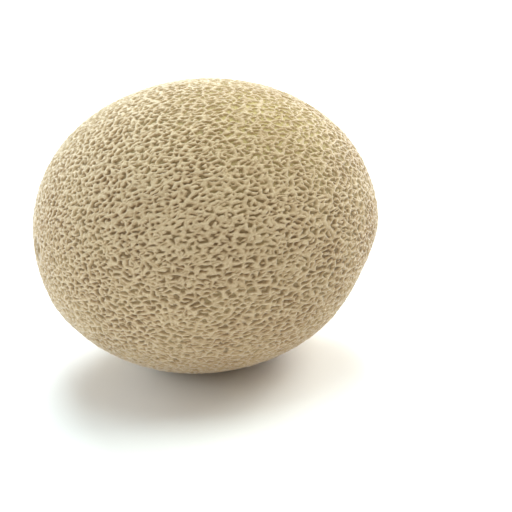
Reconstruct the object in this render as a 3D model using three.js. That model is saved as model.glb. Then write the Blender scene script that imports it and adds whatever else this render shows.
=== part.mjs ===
// A whole netted melon, lying on its side on a small flat spot.
//
// The fruit grew in one piece, so it is one solid: a slightly egg-shaped body, a net of cork
// raised all over it, the dished round scar where the stem came away, and the small button that
// the blossom left at the other end. The cells of the net are larger and fewer than life.
//
// Millimetres. +X runs from the blossom end to the stem end, +Z is up, and the origin is on the
// table under the middle of the fruit.

import * as THREE from 'three';
import { ConvexHull } from 'three/addons/math/ConvexHull.js';

// The fruit, measured over its net. The dips at its two ends come off the length.
const LENGTH = 168;
const DIAMETER = 140.5;
const EGG_TAPER = 0.015; // how much thinner than its middle the stem half is, as a share
const SETTLED = 0.7; // how far the rind is pressed flat where the fruit rests

// Where the fruit is a little fuller or flatter than an egg: a direction from its middle, the
// rise in mm, and how far round it reaches in radians.
const SWELLINGS = [
  { toward: [1, 0, 0], rise: -1.7, reach: 0.3 },
  { toward: [-1, 0, 0], rise: -0.6, reach: 0.25 },
  { toward: [0.81, -0.46, -0.34], rise: -2.3, reach: 0.36 },
  { toward: [0.92, -0.38, -0.02], rise: 1.1, reach: 0.2 },
  { toward: [-0.85, 0.13, -0.51], rise: 1.2, reach: 0.16 },
  { toward: [-0.66, 0.49, 0.55], rise: 0.9, reach: 0.38 },
  { toward: [-0.3, -0.8, 0.5], rise: 0.5, reach: 0.5 },
];

// The net. Its cork is lower and narrower over the ground spot, where the fruit lay on the soil.
const CELLS = 490;
const NET_HEIGHT = 1.8;
const LEAST_CORK = 0.7; // the height and width of the slightest cork, as a share of the fullest
const CREST_WIDTH = 5.8; // across the flat top of the broadest ridge
const SLOPE_WIDTH = 1.2; // from the edge of the top down to the rind
const MOST_INSET = 0.6; // the share of a cell's size that cork may take on one side
const STRETCH = 0.24; // cells are drawn out along the fruit by this, and drawn in at its ends
const UNEVENNESS = 0.7; // how far a cell strays from an even spacing, as a share of it
const EVENING_ROUNDS = 1; // how often each seed then moves to the middle of its cell
const RING_UNEVENNESS = 0.12; // the same for the cells round a scar
const GROUND_SPOT = { toward: [0.23, -0.37, 0.9], reach: 0.5, thinning: 0.3 };
const SEED = 7;

// The scars. rings go inwards from the rim: radius as a share of the rim's, and height in mm.
const STEM_SCAR = {
  pole: 1,
  radius: 9.5,
  neighbours: 15,
  rings: [[0.84, -1.5], [0.5, -2.3]],
  middle: -1.9,
};
const BLOSSOM_SCAR = {
  pole: -1,
  radius: 5,
  neighbours: 9,
  rings: [[0.8, -0.3], [0.5, 0.9]],
  middle: 1.2,
};

const HALF_LENGTH = LENGTH / 2 - NET_HEIGHT;
const HALF_WIDTH = DIAMETER / 2 - NET_HEIGHT;

// A stream of numbers from 0 to 1, the same each time.
function randomStream(seed) {
  let state = seed;
  return () => {
    state = (state + 0x6d2b79f5) | 0;
    let mixed = Math.imul(state ^ (state >>> 15), 1 | state);
    mixed = (mixed + Math.imul(mixed ^ (mixed >>> 7), 61 | mixed)) ^ mixed;
    return ((mixed ^ (mixed >>> 14)) >>> 0) / 2 ** 32;
  };
}

// The point of the fruit that lies along a unit direction from its middle, height mm above the
// rind, before the fruit is stood on the table.
function onFruit(direction, height) {
  const girth = 1 - EGG_TAPER * direction.x;
  const point = new THREE.Vector3(
    (HALF_LENGTH + height) * direction.x,
    (HALF_WIDTH + height) * direction.y * girth,
    (HALF_WIDTH + height) * direction.z * girth,
  );
  let rise = 0;
  for (const swelling of SWELLINGS) {
    const away = direction.angleTo(new THREE.Vector3(...swelling.toward).normalize());
    rise += swelling.rise * Math.exp(-((away / swelling.reach) ** 2));
  }
  return point.addScaledVector(direction, rise);
}

// The net is laid out on an even sphere. This carries a direction there to one on the fruit, so
// that cells are long round the fruit's middle and small towards both ends.
function drawnOut(even) {
  const fromStem = Math.acos(THREE.MathUtils.clamp(even.x, -1, 1));
  const drawn = fromStem - (STRETCH / 2) * Math.sin(2 * fromStem);
  const around = Math.atan2(even.z, even.y);
  return new THREE.Vector3(
    Math.cos(drawn),
    Math.sin(drawn) * Math.cos(around),
    Math.sin(drawn) * Math.sin(around),
  );
}

// A direction on the even sphere, at an angle from the +X axis and turned around it.
function fromAngles(fromStem, around) {
  return new THREE.Vector3(
    Math.cos(fromStem),
    Math.sin(fromStem) * Math.cos(around),
    Math.sin(fromStem) * Math.sin(around),
  );
}

// The angle on the even sphere between a scar's middle and the seeds of the cells round it. Its
// rim runs half way between them.
function ringAngle(scar) {
  const rimAngle = (scar.radius + CREST_WIDTH / 2) / HALF_WIDTH;
  return (2 * rimAngle) / (1 - STRETCH);
}

// One seed for each cell: the two scars, a ring round each, and an uneven spiral between. The
// first fixed seeds, those of the scars and their rings, stay where they are put.
function netSeeds() {
  const random = randomStream(SEED);
  const spacing = Math.sqrt((4 * Math.PI) / CELLS);
  const seeds = [];
  for (const scar of [STEM_SCAR, BLOSSOM_SCAR]) {
    seeds.push(new THREE.Vector3(scar.pole, 0, 0));
    for (let i = 0; i < scar.neighbours; i++) {
      const around = (2 * Math.PI * i) / scar.neighbours;
      const stray = 1 + RING_UNEVENNESS * (random() - 0.5);
      const seed = fromAngles(ringAngle(scar) * stray, around);
      seed.x *= scar.pole;
      seeds.push(seed);
    }
  }
  const fixed = seeds.length;
  const goldenAngle = Math.PI * (3 - Math.sqrt(5));
  for (let i = 0; i < CELLS; i++) {
    const even = fromAngles(Math.acos(1 - (2 * i + 1) / CELLS), i * goldenAngle);
    const stray = new THREE.Vector3(random() - 0.5, random() - 0.5, random() - 0.5);
    even.addScaledVector(stray, 2 * UNEVENNESS * spacing).normalize();
    const clearOfScars = [STEM_SCAR, BLOSSOM_SCAR].every((scar) => {
      const away = even.angleTo(new THREE.Vector3(scar.pole, 0, 0));
      return away > ringAngle(scar) + 0.55 * spacing;
    });
    if (clearOfScars) seeds.push(even);
  }
  for (let round = 0; round < EVENING_ROUNDS; round++) {
    const { joints, cells } = netLines(seeds);
    for (const cell of cells.slice(fixed)) {
      const middle = new THREE.Vector3();
      for (const joint of cell.joints) middle.add(joints[joint].at);
      cell.seed.copy(middle.normalize());
    }
  }
  return seeds;
}

// The net of lines half way between neighbouring seeds. Three cells meet at each joint, and a
// cell lists its joints in order round its seed.
function netLines(seeds) {
  const numberOf = new Map(seeds.map((seed, i) => [seed, i]));
  const joints = [];
  const across = new Map();
  const cells = seeds.map((seed) => ({ seed, joints: [] }));
  for (const face of new ConvexHull().setFromPoints(seeds).faces) {
    const around = [];
    for (let edge = face.edge, n = 0; n < 3; edge = edge.next, n++) {
      around.push(numberOf.get(edge.tail().point));
    }
    const joint = joints.length;
    joints.push({ at: face.normal.clone(), cells: around });
    around.forEach((cell, n) => {
      cells[cell].joints.push(joint);
      across.set(`${cell},${around[(n + 1) % 3]}`, joint);
    });
  }
  for (const cell of cells) {
    const side = new THREE.Vector3(0, 0, 1).cross(cell.seed).normalize();
    const front = cell.seed.clone().cross(side);
    const turn = (joint) => Math.atan2(joints[joint].at.dot(front), joints[joint].at.dot(side));
    cell.joints.sort((a, b) => turn(a) - turn(b));
  }
  return { joints, cells, across };
}

// How full the cork is at a joint of the net, as a share: a slow change over the fruit.
function corkShare(direction) {
  const { x, y, z } = direction;
  const slow = Math.sin(7 * x + 1.3) * Math.sin(6 * y + 0.4) * Math.sin(5 * z + 2.1);
  const away = direction.angleTo(new THREE.Vector3(...GROUND_SPOT.toward).normalize());
  const thin = GROUND_SPOT.thinning * Math.exp(-((away / GROUND_SPOT.reach) ** 2));
  return (LEAST_CORK + (1 - LEAST_CORK) * (0.5 + 0.5 * slow)) * (1 - thin);
}

// Collects points and triangles, with points already on the fruit.
class Surface {
  positions = [];
  triangles = [];

  point(direction, height) {
    this.positions.push(onFruit(direction, height));
    return this.positions.length - 1;
  }

  triangle(a, b, c) {
    this.triangles.push(a, b, c);
  }

  // A band between an outer and an inner ring with the same number of points.
  band(outer, inner) {
    outer.forEach((_, i) => {
      const next = (i + 1) % outer.length;
      this.triangle(outer[i], outer[next], inner[next]);
      this.triangle(outer[i], inner[next], inner[i]);
    });
  }
}

// The points of a cell's ring: each joint of the cell moved towards its middle, by half a ridge
// and then by beyond mm.
function insetRing(cell, joints, beyond) {
  const middle = drawnOut(cell.seed);
  return cell.joints.map((joint) => {
    const corner = drawnOut(joints[joint].at);
    const apart = onFruit(corner, 0).distanceTo(onFruit(middle, 0));
    const crest = Math.min(MOST_INSET, (corkShare(joints[joint].at) * CREST_WIDTH) / 2 / apart);
    return corner.lerp(middle, crest + (1 - crest) * (beyond / apart)).normalize();
  });
}

// The rind inside a cell of the net.
function addFloor(surface, foot) {
  for (let i = 1; i < foot.length - 1; i++) surface.triangle(foot[0], foot[i], foot[i + 1]);
}

// The inside of a scar: rings of its own shape, and its middle.
function addScar(surface, scar, crest, rim) {
  const middle = new THREE.Vector3(scar.pole, 0, 0);
  let outer = crest;
  for (const [share, height] of scar.rings) {
    const ring = rim.map((corner) => {
      return surface.point(middle.clone().lerp(corner, share).normalize(), height);
    });
    surface.band(outer, ring);
    outer = ring;
  }
  const centre = surface.point(middle, scar.middle);
  outer.forEach((point, i) => {
    surface.triangle(point, outer[(i + 1) % outer.length], centre);
  });
}

// The flat tops of the cork ridges: one strip for each line of the net, one piece at each joint.
function addRidgeTops(surface, { joints, across }, crestAt) {
  joints.forEach((joint, number) => {
    const [a, b, c] = joint.cells;
    surface.triangle(crestAt(a, number), crestAt(b, number), crestAt(c, number));
    [[a, b], [b, c], [c, a]].forEach(([left, right]) => {
      if (left > right) return; // the strip is made once, from one of its two sides
      const beyond = across.get(`${right},${left}`);
      const near = [crestAt(left, number), crestAt(right, number)];
      const far = [crestAt(left, beyond), crestAt(right, beyond)];
      surface.triangle(far[0], far[1], near[1]);
      surface.triangle(far[0], near[1], near[0]);
    });
  });
}

// Stands the fruit on the table: the middle of its outline over the origin, and the rind pressed
// flat where it rests.
function standOnTable(positions) {
  let rindBottom = Infinity;
  for (let fromStem = 0; fromStem <= Math.PI; fromStem += Math.PI / 720) {
    const down = new THREE.Vector3(Math.cos(fromStem), 0, -Math.sin(fromStem));
    rindBottom = Math.min(rindBottom, onFruit(down, 0).z);
  }
  const box = new THREE.Box3().setFromPoints(positions);
  const middle = box.getCenter(new THREE.Vector3());
  for (const position of positions) {
    position.x -= middle.x;
    position.y -= middle.y;
    position.z = Math.max(0, position.z - rindBottom - SETTLED);
  }
}

function melonGeometry() {
  const net = netLines(netSeeds());
  const surface = new Surface();
  const crests = new Map();
  const crestAt = (cell, joint) => crests.get(`${cell},${joint}`);
  net.cells.forEach((cell, number) => {
    const top = insetRing(cell, net.joints, 0);
    const crest = top.map((direction, i) => {
      const joint = cell.joints[i];
      const point = surface.point(direction, NET_HEIGHT * corkShare(net.joints[joint].at));
      crests.set(`${number},${joint}`, point);
      return point;
    });
    const scar = [STEM_SCAR, BLOSSOM_SCAR].find((one) => cell.seed.x === one.pole);
    if (scar) {
      addScar(surface, scar, crest, top);
      return;
    }
    const bottom = insetRing(cell, net.joints, SLOPE_WIDTH);
    const foot = bottom.map((direction) => surface.point(direction, 0));
    surface.band(crest, foot);
    addFloor(surface, foot);
  });
  addRidgeTops(surface, net, crestAt);
  standOnTable(surface.positions);

  const geometry = new THREE.BufferGeometry().setFromPoints(surface.positions);
  geometry.setIndex(surface.triangles);
  geometry.computeVertexNormals();
  return geometry;
}

function melon() {
  const rind = new THREE.MeshStandardMaterial({ color: 0xcdbd92, roughness: 0.85, metalness: 0 });
  const mesh = new THREE.Mesh(melonGeometry(), rind);
  mesh.name = 'melon';
  return mesh;
}

const part = new THREE.Group();
part.add(melon());

export default part;
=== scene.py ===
# A whole netted melon lying on its side.
#
# The rind is a fine mesh on the form of the CAD model: an egg-shaped body, a net of rounded cork
# ropes tied by thin cords, the dished scar of the stem and the small button of the blossom. It
# comes in six sides, because one mesh of it all would pass the limit of 200,000 triangles a piece.
# Neighbouring sides share the points and the normals along their edges, so no seam shows. Metres.

import math

import bpy
import numpy as np
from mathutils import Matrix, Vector, kdtree


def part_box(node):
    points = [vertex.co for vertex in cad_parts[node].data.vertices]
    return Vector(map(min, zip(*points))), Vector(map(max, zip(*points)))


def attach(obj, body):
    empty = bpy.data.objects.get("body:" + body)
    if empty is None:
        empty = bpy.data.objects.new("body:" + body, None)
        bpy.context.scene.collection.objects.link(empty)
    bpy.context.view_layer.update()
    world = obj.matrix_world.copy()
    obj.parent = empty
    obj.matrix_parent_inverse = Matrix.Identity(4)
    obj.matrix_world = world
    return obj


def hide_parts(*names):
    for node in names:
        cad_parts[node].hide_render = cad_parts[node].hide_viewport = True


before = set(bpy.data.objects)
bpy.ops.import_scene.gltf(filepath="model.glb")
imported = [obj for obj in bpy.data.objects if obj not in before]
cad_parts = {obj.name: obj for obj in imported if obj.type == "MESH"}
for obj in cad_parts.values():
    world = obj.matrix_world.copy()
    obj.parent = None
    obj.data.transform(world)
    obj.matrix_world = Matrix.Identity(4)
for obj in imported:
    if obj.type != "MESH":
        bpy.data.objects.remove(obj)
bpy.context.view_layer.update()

MM = 0.001
TINY = 1e-9  # keeps a length from being zero where it is divided by

# The body, as the CAD model has it, measured over the rind between the ropes of the net.
HALF_LENGTH = 82.6 * MM
HALF_WIDTH = 68.85 * MM
EGG_TAPER = 0.015  # how much thinner than its middle the stem half is, as a share
SETTLED = 1.0 * MM  # how far the rind is pressed flat where the fruit rests
RIND_STEP = 1.2 * MM  # how closely the rind is looked at to find its lowest point

# Where the fruit is fuller or flatter than an egg: a direction from its middle, the rise, and
# how far round it reaches in radians.
SWELLINGS = [
    ((1, 0, 0), -1.7 * MM, 0.3),
    ((-1, 0, 0), -0.6 * MM, 0.25),
    ((0.81, -0.46, -0.34), -2.3 * MM, 0.36),
    ((0.92, -0.38, -0.02), 1.1 * MM, 0.2),
    ((-0.85, 0.13, -0.51), 1.2 * MM, 0.16),
    ((-0.66, 0.49, 0.55), 0.9 * MM, 0.38),
    ((-0.3, -0.8, 0.5), 0.5 * MM, 0.5),
]

# The net: the crests of random waves, which are the sum of small patches of waves that each run
# their own way along the skin. Cut off at a level and rounded, the crests are cork ropes that
# fork and join.
WAVE = 2.45 * MM  # from rope to rope, across the fruit
STRETCH = 1.6  # how much further it is from rope to rope along the fruit
ALONG_SHARE = 0.6  # the less this is, the more the ropes run along the fruit
LEAN = math.radians(10)  # how much the ropes climb towards the stem end, seen from the front
PATCH = 2.75 * MM  # the reach of a patch
PATCHES_EACH = 20  # how many patches reach a point, on average
PATCHES_NEAR = 54  # how many are looked at, which is enough for all that reach it
NET_HEIGHT = 1.25 * MM
NET_LEVEL = 0.1  # how far under the mean of the waves the ropes start
LEVEL_DRIFT = (14 * MM, 0.1)  # the size of the patches where that differs, and how much it does
ROPE_SOFTNESS = 2.1  # how far over that level a rope is at its full height
ROPE_ROUNDING = 0.6  # the less this is, the steeper are the sides of the ropes
NOTCH_SIZE, NOTCH_DEPTH = 1.35 * MM, 0.16  # the unevenness of the edges of the ropes
HEIGHT_DRIFT = (5 * MM, 0.06)  # the size of the patches of higher and lower net, and how much
TALLEST = 1.15  # the highest the net gets, as a share of its height

# Thin cords tie the ropes together. They run along the borders of cells.
CELL = 3.4 * MM  # from cell to cell, across the fruit
CELL_STRAY = 0.4  # how far a cell strays from its even place, as a share of that
CELLS_NEAR = 20  # how many are looked at, which is enough for the borders near a point
CORD_HALF_WIDTH = 0.67 * MM
CORD_HEIGHT = 0.95  # as a share of the height of the net
CORNER_ROUNDING = 0.1 * MM  # how much cords fill the corners where they meet
MELTING = 0.07  # how softly ropes and cords run together
WANDERING = ((7 * MM, 0.4 * MM), (3 * MM, 0.15 * MM))  # sizes of the bends, and how far

# Where the net differs: a direction from the fruit's middle, the change, and the reach in radians.
# The height and the spacing change by a share.
GROUND_SPOT = ((0.23, -0.37, 0.9), 0.55)  # where the fruit lay on the soil
LEVELS = [
    ((-0.4, -0.75, 0.45), 0.5, 0.7),
    ((0.9, -0.4, 0.1), -0.35, 0.7),
    (GROUND_SPOT[0], -0.5, 0.55),
]
HEIGHTS = [
    ((0.9, -0.4, 0.1), -0.3, 0.6),
    ((-1, 0, 0), -0.2, 0.6),
    ((-0.1, -0.8, -0.6), -0.2, 0.5),
    (GROUND_SPOT[0], -0.3, 0.55),
]
SPACINGS = [((-1, 0, 0), -0.1, 0.5), (GROUND_SPOT[0], -0.15, 0.5)]

# The scars, in millimetres: heights over the rind at distances from the fruit's axis. The last
# three distances are where the dish ends, where the collar is highest and where the scar ends.
STEM_SCAR = [(0, -1.7), (2, -2.0), (5, -2.4), (8.2, -1.6), (9.8, 0.7), (13, 0)]
BLOSSOM_SCAR = [(0, 1.0), (1.8, 0.9), (3.2, -0.5), (4.6, -0.2), (6, 0.8), (8, 0)]
SCARS_WITHIN = 0.9  # only directions this much along the fruit's axis can meet a scar
SCAR_WOBBLE = (8 * MM, 0.05)  # the size and the share of the unevenness of their outlines
SCAR_ROUGHNESS = [(2.6 * MM, 0.2 * MM, 41), (1 * MM, 0.08 * MM, 42)]  # sizes, heights and seeds
COLLAR_EDGE = 0.6  # in millimetres, how far inside the collar the net starts to rise
COLLAR_NET = 0.9  # the height of the net on the collar, as a share of its height

# Each side is a square lattice, with this many cells each way. The points of a row are looked at
# in runs, which share the patches and the cells near them.
LATTICE = 286
RUN = 7
NORMAL_STEP = 0.2 * MM  # how far apart the slopes of the rind are measured, each way

# The sides: the way each faces, and the ways its lattice runs.
SIDES = {
    "melon_stem_end": ((1, 0, 0), (0, 1, 0), (0, 0, 1)),
    "melon_blossom_end": ((-1, 0, 0), (0, -1, 0), (0, 0, 1)),
    "melon_back": ((0, 1, 0), (-1, 0, 0), (0, 0, 1)),
    "melon_front": ((0, -1, 0), (1, 0, 0), (0, 0, 1)),
    "melon_top": ((0, 0, 1), (1, 0, 0), (0, 1, 0)),
    "melon_underside": ((0, 0, -1), (-1, 0, 0), (0, 1, 0)),
}

# Colours of the rind (linear): bare rind, the sides of the ropes and their crests.
FLOOR = (0.25, 0.172, 0.092)
FLOOR_GREEN = (0.35, 0.268, 0.14)
FLOOR_GROUND = (0.53, 0.425, 0.19)
CORK_FLANK = (0.45, 0.318, 0.18)
CORK_FLANK_PALE = (0.52, 0.39, 0.23)
# The crest colours paint a highlight: the tops of the ropes are made paler than their sides.
CORK_CREST_PAINTED_HIGHLIGHT = (0.56, 0.436, 0.268)
CORK_PALE_PAINTED_HIGHLIGHT = (0.65, 0.522, 0.35)
GROUND_TINT = (1, 0.98, 0.76)
SCAR_DARK = (0.27, 0.185, 0.1)
SCAR_PALE = (0.48, 0.37, 0.23)
GROUND_TINT_SHARE = 0.35
BLOTCH_SIZE = 16 * MM
SPECKLE_SIZE = 0.9 * MM
HEALED_SIZE = 1.2 * MM  # of the spots in the scars
GRAIN_SIZE, GRAIN_DEPTH = 0.7 * MM, 0.15 * MM
ROUGHNESS = (0.72, 0.92)

# The camera, and where the fruit's middle is in a picture of 512 by 512.
HALF_PICTURE = 256
AZIMUTH, ELEVATION = math.radians(-22), math.radians(22)
LENS = 90
DISTANCE = 610.5 * MM
MIDDLE_AT = (206.8, 223.7)
PIXEL = 0.4776 * MM  # the width of a pixel at the fruit's middle

# The lamps: place, power in watts, size and colour.
LAMPS = {
    "above": ((0, 0.05, 1.2), 7.2, 0.6, (0.79, 0.97, 1)),
    "above_behind": ((0.1, 0.75, 0.95), 10.2, 0.6, (0.82, 0.95, 1)),
    "above_right": ((0.8, 0, 0.9), 7.8, 0.6, (0.97, 1, 0.92)),
    "left": ((-1.15, 0.15, 0.35), 5.6, 0.7, (0.82, 0.95, 1)),
    "behind_left": ((-0.75, 0.95, 0.35), 9.2, 0.7, (0.88, 0.95, 1)),
    "behind_right": ((1.0, 0.65, 0.35), 12.5, 0.7, (0.96, 0.97, 1)),
    "front": ((-0.5, -1.1, 0.35), 1.2, 0.7, (1, 0.7, 0.4)),
}
LAMPS_AIM = (0, 0, 60 * MM)
SURROUNDINGS = 0.36
SURROUNDINGS_COLOUR = (1, 0.93, 0.83)


def unit(vectors):
    vectors = np.asarray(vectors, float)
    return vectors / np.linalg.norm(vectors, axis=-1, keepdims=True)


def bell(directions, toward, reach):
    """1 in one direction, and falling off smoothly over reach radians round it."""
    angle = np.arccos(np.clip(directions @ unit(toward), -1, 1))
    return np.exp(-((angle / reach) ** 2))


def changes(directions, places):
    """The sum of changes round places, each a direction, an amount and a reach."""
    return sum(amount * bell(directions, toward, reach) for toward, amount, reach in places)


def ease(low, high, values):
    """0 below low, 1 above high, and smooth between."""
    t = np.clip((values - low) / (high - low), 0, 1)
    return t * t * (3 - 2 * t)


def smooth_curve(values, knots):
    """A smooth curve through the knots, level at each."""
    result = np.full(len(values), float(knots[0][1]))
    for (start, before), (end, after) in zip(knots, knots[1:]):
        result += (after - before) * ease(start, end, values)
    return result


def ripples(points, size, seed, waves=12):
    """Smooth random noise with crests about size apart. Its mean is 0 and its spread is 1."""
    rng = np.random.default_rng(seed)
    ways = unit(rng.normal(size=(waves, 3)))
    numbers = 2 * math.pi / size * rng.uniform(0.65, 1.45, (waves, 1))
    phases = rng.uniform(0, 2 * math.pi, waves)
    return np.sin(points @ (ways * numbers).T + phases).sum(1) * math.sqrt(2 / waves)


def drift(points, size, amount, seed):
    """Smooth random noise with crests about size apart and a spread of amount."""
    return amount * ripples(points, size, seed)


def on_fruit(directions, height=0):
    """The points of the fruit along unit directions from its middle, height above the rind."""
    girth = 1 - EGG_TAPER * directions[:, :1]
    height = np.reshape(height, (-1, 1)) * np.ones((len(directions), 1))
    points = np.hstack(
        [
            (HALF_LENGTH + height) * directions[:, :1],
            (HALF_WIDTH + height) * directions[:, 1:] * girth,
        ]
    )
    return points + directions * changes(directions, SWELLINGS)[:, None]


def squeezed(points):
    """The fruit made shorter, so that even noise on it is longer along the fruit."""
    return points / (STRETCH, 1, 1)


def spiral(tilts):
    """Directions at these angles from the stem end, each turned on by the golden angle."""
    turn = np.arange(len(tilts)) * math.pi * (3 - math.sqrt(5))
    across = np.sin(tilts)
    return np.stack([np.cos(tilts), across * np.cos(turn), across * np.sin(turn)], 1)


def even_directions(spacing):
    """Directions from the fruit's middle, about spacing apart all over the squeezed fruit."""
    tilts = np.linspace(0, math.pi, 3001)
    outline = squeezed(on_fruit(np.stack([np.cos(tilts), np.sin(tilts), 0 * tilts], 1)))
    steps = np.linalg.norm(np.diff(outline, axis=0), axis=1)
    area = np.append(0, np.cumsum(math.pi * steps * (outline[1:, 1] + outline[:-1, 1])))
    count = int(area[-1] / spacing**2)
    return spiral(np.interp((np.arange(count) + 0.5) / count * area[-1], area, tilts))


def wave_patches(seed):
    """The patches of waves: their middles, wave numbers and phases."""
    directions = even_directions(PATCH * math.sqrt(math.pi / PATCHES_EACH))
    middles = squeezed(on_fruit(directions))
    upright = unit(middles / np.square([HALF_LENGTH / STRETCH, HALF_WIDTH, HALF_WIDTH]))
    along = unit((1, 0, 0) - upright * upright[:, :1])
    across = np.cross(upright, along)
    rng = np.random.default_rng(seed)
    angles = rng.uniform(0, 2 * math.pi, len(middles))
    angles = np.arctan2(np.cos(angles), ALONG_SHARE * np.sin(angles)) + LEAN
    ways = np.cos(angles)[:, None] * along + np.sin(angles)[:, None] * across
    spacings = WAVE * (1 + changes(directions, SPACINGS))
    return middles, ways * (2 * math.pi / spacings)[:, None], rng.uniform(0, 2 * math.pi, len(ways))


def cell_middles(seed):
    """The middles of the cells, strayed from an even spread over the squeezed fruit."""
    even = squeezed(on_fruit(even_directions(CELL)))
    strays = np.random.default_rng(seed).uniform(-1, 1, even.shape)
    strayed = (even + CELL_STRAY * CELL * strays) * (STRETCH, 1, 1)
    return squeezed(on_fruit(unit(strayed / (HALF_LENGTH, HALF_WIDTH, HALF_WIDTH))))


def planted(middles):
    """A tree that finds the nearest of some points."""
    tree = kdtree.KDTree(len(middles))
    for number, middle in enumerate(middles):
        tree.insert(middle, number)
    tree.balance()
    return tree


def nearest(tree, count, points):
    """For each run of points, the numbers of the nearest in the tree."""
    middles = squeezed(points).reshape(-1, RUN, 3)[:, RUN // 2]
    return np.array([[number for _, number, _ in tree.find_n(p, count)] for p in middles])


def border_distance(points, near):
    """How far squeezed points are from the borders of their cells, less in the corners."""
    cells = cell_centres[near][:, None]
    squares = ((cells - points.reshape(len(near), RUN, 1, 3)) ** 2).sum(3)
    own = squares.argmin(2)[..., None]
    between = cells - np.take_along_axis(cells, own[..., None], 2)
    apart = np.sqrt((between**2).sum(3)) + TINY
    distance = (squares - np.take_along_axis(squares, own, 2)) / (2 * apart)
    np.put_along_axis(distance, own, np.inf, 2)  # a cell has no border with itself
    return -CORNER_ROUNDING * np.log(np.exp(-distance / CORNER_ROUNDING).sum(2)).ravel()


def wandered(points):
    """Points moved about by smooth noise, so that straight lines through them wander."""
    moved = points.copy()
    for n, (size, amount) in enumerate(WANDERING):
        for axis in range(3):
            moved[:, axis] += drift(points, size, amount, seed=100 + 10 * n + axis)
    return moved


def waves(points, near):
    """The sum of the patches of waves at squeezed points. Its mean is 0 and its spread is 1.

    A patch adds 1/14 to the square of the spread: 1/2 for a wave, and 1/7 for how it fades.
    """
    middles, ways, phases = (values[near] for values in patches)
    runs = points.reshape(len(near), RUN, 3)
    apart = (runs**2).sum(2)[..., None] + (middles**2).sum(2)[:, None]
    apart -= 2 * runs @ middles.transpose(0, 2, 1)
    strength = np.clip(1 - apart / PATCH**2, 0, 1) ** 3
    sums = (strength * np.cos(runs @ ways.transpose(0, 2, 1) + phases[:, None])).sum(2)
    return sums.ravel() * math.sqrt(14 / PATCHES_EACH)


def net_height(directions, rind, near):
    """How high the cork stands over the rind."""
    at = squeezed(rind)
    near_patches, near_cells = near
    level = NET_LEVEL + drift(at, *LEVEL_DRIFT, seed=31) + changes(directions, LEVELS)
    level += NOTCH_DEPTH * ripples(at, NOTCH_SIZE, seed=32, waves=30)
    inside = np.clip((waves(at, near_patches) + level) / ROPE_SOFTNESS, 0, 1)
    ropes = (1 - (1 - inside) ** 2) ** ROPE_ROUNDING
    aside = border_distance(wandered(at), near_cells) / CORD_HALF_WIDTH
    cords = CORD_HEIGHT * np.sqrt(np.clip(1 - aside, 0, 1))
    together = MELTING * np.logaddexp(ropes / MELTING, cords / MELTING)
    together = np.clip(together - MELTING * math.log(2), 0, 1)
    share = 1 + drift(at, *HEIGHT_DRIFT, seed=34) + changes(directions, HEIGHTS)
    return NET_HEIGHT * np.clip(share, 0, TALLEST) * together


def surface(directions, near):
    """The points of the rind in these directions, and how much of each is cork and scar."""
    rind = on_fruit(directions)
    height = net_height(directions, rind, near)
    scar = np.zeros(len(rind))
    radius = np.linalg.norm(rind[:, 1:], axis=1) / MM * (1 + drift(rind, *SCAR_WOBBLE, seed=43))
    roughness = sum(drift(rind, *sizes) for sizes in SCAR_ROUGHNESS)
    for end, knots in ((1, STEM_SCAR), (-1, BLOSSOM_SCAR)):
        here = directions[:, 0] * end > SCARS_WITHIN
        dish, collar, outside = (distance for distance, _ in knots[-3:])
        past_dish = ease(dish, collar, radius)
        past_collar = ease(collar - COLLAR_EDGE, outside, radius)
        rim = smooth_curve(radius, knots) * MM + roughness * (1 - past_collar)
        net = height * np.maximum(past_collar, COLLAR_NET * past_dish)
        height = np.where(here, np.maximum(net, rim), height)
        scar = np.where(here, 1 - past_dish, scar)
    points = on_fruit(directions, height)
    points[:, 2] = np.maximum(points[:, 2], SETTLED - rind_bottom)
    return points, np.clip(height / NET_HEIGHT, 0, 1), scar


def side_surface(side):
    """Points, normals and looks of one side's lattice, row by row."""
    out, along, up = (np.array(v, float) for v in side)
    slopes = np.tan((2 * np.arange(LATTICE + 1) / LATTICE - 1) * math.pi / 4)
    a, b = (grid.reshape(-1, 1) for grid in np.meshgrid(slopes, slopes))
    directions = unit(out + a * along + b * up)
    rind = on_fruit(directions)
    near = nearest(patch_tree, PATCHES_NEAR, rind), nearest(cell_tree, CELLS_NEAR, rind)
    points, cork, scar = surface(directions, near)
    nudge = NORMAL_STEP / HALF_WIDTH
    slants = [
        surface(unit(directions + nudge * way), near)[0]
        - surface(unit(directions - nudge * way), near)[0]
        for way in (along, up)
    ]
    looks = {"cork": cork, "scar": scar, "ground": bell(directions, *GROUND_SPOT)}
    return points, unit(np.cross(*slants)), looks


def lattice_faces():
    """The corners of each face, as numbers of the lattice's points, row by row."""
    rows = LATTICE + 1
    corner = (np.arange(LATTICE)[:, None] * rows + np.arange(LATTICE)).ravel()
    return np.stack([corner, corner + 1, corner + rows + 1, corner + rows], 1)


def add_side(name, points, normals, looks, material):
    """One side of the rind as a piece, with its looks as attributes and a square UV layout."""
    mesh = bpy.data.meshes.new(name)
    faces = lattice_faces()
    mesh.from_pydata(points, [], faces.tolist())
    mesh.normals_split_custom_set_from_vertices(normals)
    for look, values in looks.items():
        layer = mesh.attributes.new(look, "FLOAT", "POINT")
        layer.data.foreach_set("value", values.astype(np.float32))
    rows = LATTICE + 1
    corners = np.stack([faces % rows, faces // rows], -1) / LATTICE
    layout = mesh.uv_layers.new(name="OFBake")
    layout.uv.foreach_set("vector", corners.ravel().astype(np.float32))
    mesh.materials.append(material)
    piece = bpy.data.objects.new(name, mesh)
    bpy.context.scene.collection.objects.link(piece)
    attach(piece, "root")
    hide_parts("melon")


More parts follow.
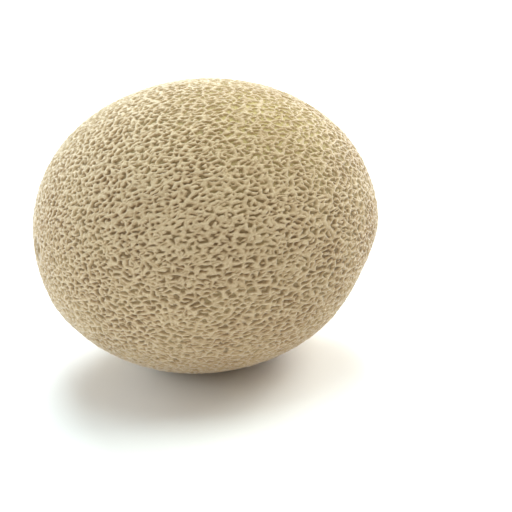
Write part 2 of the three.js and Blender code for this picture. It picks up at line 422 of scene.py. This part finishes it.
class Nodes:
    """Short ways to add nodes to a material."""

    def __init__(self, name):
        self.material = bpy.data.materials.new(name)
        self.material.use_nodes = True
        self.tree = self.material.node_tree
        self.shader = self.tree.nodes["Principled BSDF"]

    def put(self, value, socket):
        if isinstance(value, bpy.types.NodeSocket):
            self.tree.links.new(value, socket)
        else:
            socket.default_value = value

    def add(self, kind, settings=None, **inputs):
        node = self.tree.nodes.new("ShaderNode" + kind)
        for key, value in (settings or {}).items():
            setattr(node, key, value)
        for key, value in inputs.items():
            self.put(value, node.inputs[key.replace("_", " ")])
        return node

    def attribute(self, name):
        return self.add("Attribute", {"attribute_name": name}).outputs["Fac"]

    def noise(self, size, detail=2.0, roughness=0.5):
        """Noise with lumps about size across, 0 to 1."""
        place = self.add("TexCoord").outputs["Object"]
        settings = {"Scale": 1 / size, "Detail": detail, "Roughness": roughness}
        return self.add("TexNoise", Vector=place, **settings).outputs["Fac"]

    def ranged(self, value, low, high, to_low=0.0, to_high=1.0):
        node = self.add("MapRange", {"interpolation_type": "SMOOTHSTEP"}, Value=value)
        ends = {"From Min": low, "From Max": high, "To Min": to_low, "To Max": to_high}
        for key, number in ends.items():
            node.inputs[key].default_value = number
        return node.outputs["Result"]

    def math(self, operation, first, second):
        node = self.add("Math", {"operation": operation})
        self.put(first, node.inputs[0])
        self.put(second, node.inputs[1])
        return node.outputs[0]

    def mix(self, share, first, second, blend="MIX"):
        node = self.add("Mix", {"data_type": "RGBA", "blend_type": blend})
        self.put(share, node.inputs["Factor"])
        for value, socket in ((first, node.inputs["A"]), (second, node.inputs["B"])):
            self.put(value if isinstance(value, bpy.types.NodeSocket) else (*value, 1), socket)
        return node.outputs["Result"]


def rind_material():
    n = Nodes("netted rind")
    cork, scar, ground = n.attribute("cork"), n.attribute("scar"), n.attribute("ground")
    speckle = n.noise(SPECKLE_SIZE, 3)
    blotch = n.noise(BLOTCH_SIZE, 3)
    skin = n.mix(n.ranged(blotch, 0.35, 0.7), FLOOR, FLOOR_GREEN)
    skin = n.mix(ground, skin, FLOOR_GROUND)
    flank = n.mix(n.ranged(blotch, 0.3, 0.7), CORK_FLANK, CORK_FLANK_PALE)
    # The crest colour is a painted highlight, laid paler on the tops of the ropes by their height.
    painted_highlight_crest = n.mix(n.ranged(speckle, 0.3, 0.7), CORK_CREST_PAINTED_HIGHLIGHT, CORK_PALE_PAINTED_HIGHLIGHT)
    colour = n.mix(n.ranged(cork, 0.02, 0.4), skin, flank)
    colour = n.mix(n.ranged(cork, 0.45, 0.95), colour, painted_highlight_crest)
    colour = n.mix(n.math("MULTIPLY", ground, GROUND_TINT_SHARE), colour, GROUND_TINT, "MULTIPLY")
    healed = n.mix(n.ranged(n.noise(HEALED_SIZE, 4), 0.3, 0.7), SCAR_DARK, SCAR_PALE)
    colour = n.mix(scar, colour, healed)
    n.put(colour, n.shader.inputs["Base Color"])
    n.put(n.ranged(speckle, 0.2, 0.8, *ROUGHNESS), n.shader.inputs["Roughness"])
    n.shader.inputs["Specular IOR Level"].default_value = 0.3
    n.shader.inputs["Sheen Weight"].default_value = 0.8
    n.shader.inputs["Sheen Roughness"].default_value = 0.4
    grain = n.noise(GRAIN_SIZE, 3, 0.6)
    bump = n.add("Bump", Strength=0.5, Distance=GRAIN_DEPTH, Height=grain)
    n.put(bump.outputs["Normal"], n.shader.inputs["Normal"])
    return n.material


def add_camera(middle):
    back = Vector(
        (
            math.sin(AZIMUTH) * math.cos(ELEVATION),
            -math.cos(AZIMUTH) * math.cos(ELEVATION),
            math.sin(ELEVATION),
        )
    )
    turn = (-back).to_track_quat("-Z", "Y")
    right, up = turn @ Vector((1, 0, 0)), turn @ Vector((0, 1, 0))
    across, down = (HALF_PICTURE - place for place in MIDDLE_AT)
    aim = middle + (right * across - up * down) * PIXEL
    data = bpy.data.cameras.new("camera")
    data.lens = LENS
    camera = bpy.data.objects.new("camera", data)
    camera.location = aim + back * DISTANCE
    camera.rotation_mode = "QUATERNION"
    camera.rotation_quaternion = turn
    bpy.context.scene.collection.objects.link(camera)
    bpy.context.scene.camera = camera


def add_lamp(name, place, power, size, colour):
    data = bpy.data.lights.new(name, "AREA")
    data.energy = power
    data.size = size
    data.color = colour
    lamp = bpy.data.objects.new(name, data)
    lamp.location = place
    lamp.rotation_mode = "QUATERNION"
    lamp.rotation_quaternion = (Vector(LAMPS_AIM) - Vector(place)).to_track_quat("-Z", "Y")
    bpy.context.scene.collection.objects.link(lamp)


def add_floor():
    mesh = bpy.data.meshes.new("floor")
    corners = [(-4, -4, 0), (4, -4, 0), (4, 4, 0), (-4, 4, 0)]
    mesh.from_pydata(corners, [], [(0, 1, 2, 3)])
    material = bpy.data.materials.new("pale floor")
    material.use_nodes = True
    shader = material.node_tree.nodes["Principled BSDF"]
    shader.inputs["Base Color"].default_value = (0.9, 0.9, 0.9, 1)
    mesh.materials.append(material)
    floor = bpy.data.objects.new("floor", mesh)
    bpy.context.scene.collection.objects.link(floor)


def add_surroundings():
    world = bpy.data.worlds.new("studio")
    bpy.context.scene.world = world
    world.use_nodes = True
    background = world.node_tree.nodes["Background"]
    background.inputs["Color"].default_value = (*SURROUNDINGS_COLOUR, 1)
    background.inputs["Strength"].default_value = SURROUNDINGS


# The lowest point of the rind, the patches and the cells are needed before any side is made.
rind_bottom = -on_fruit(even_directions(RIND_STEP))[:, 2].min()
patches = wave_patches(seed=7)
cell_centres = cell_middles(seed=8)
patch_tree, cell_tree = planted(patches[0]), planted(cell_centres)

# The sides together are fitted to the box of the CAD model.
material = rind_material()
low, high = (np.array(corner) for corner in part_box("melon"))
surfaces = {name: side_surface(side) for name, side in SIDES.items()}
all_points = np.vstack([points for points, _, _ in surfaces.values()])
found_low, found_high = all_points.min(0), all_points.max(0)
scale = (high - low) / (found_high - found_low)
for name, (points, normals, looks) in surfaces.items():
    add_side(name, (points - found_low) * scale + low, normals, looks, material)

bpy.context.scene.view_settings.view_transform = "Standard"
add_camera(Vector((low + high) / 2))
add_floor()
add_surroundings()
for name, lamp in LAMPS.items():
    add_lamp(name, *lamp)
